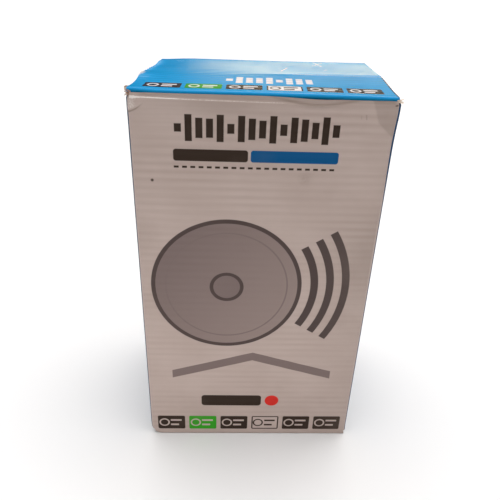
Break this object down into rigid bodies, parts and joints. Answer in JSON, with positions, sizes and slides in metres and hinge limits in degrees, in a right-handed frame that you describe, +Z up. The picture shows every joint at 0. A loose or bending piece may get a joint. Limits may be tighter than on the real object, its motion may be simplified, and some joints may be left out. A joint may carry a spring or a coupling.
{
  "type": "corrugated tuck-top carton",
  "caption": "Upright corrugated carton with a white front, blue sides, dust flaps and a creased blue lid that folds back at the rear and tucks in behind the front panel.",
  "frame": {"origin": "middle of the base, on the surface that the carton stands on", "axes": "+Z up, -Y out of the front panel, +X to the right of someone facing the front panel"},
  "size_m": [0.19, 0.146, 0.332],
  "materials": {
    "carton_board": "white printed paper on corrugated board, blue on the sides",
    "lid_board": "blue printed paper on corrugated board, soft sheen"
  },
  "bodies": {
    "carton": {"carton_body": "carton_board"},
    "lid": {"top_lid": "lid_board"}
  },
  "joints": [
    {"name": "lid_fold", "type": "hinge", "parent": "carton", "child": "lid", "pos_m": [0, 0.0725, 0.3293], "axis": [-1, 0, 0], "range_deg": [0, 180]}
  ]
}
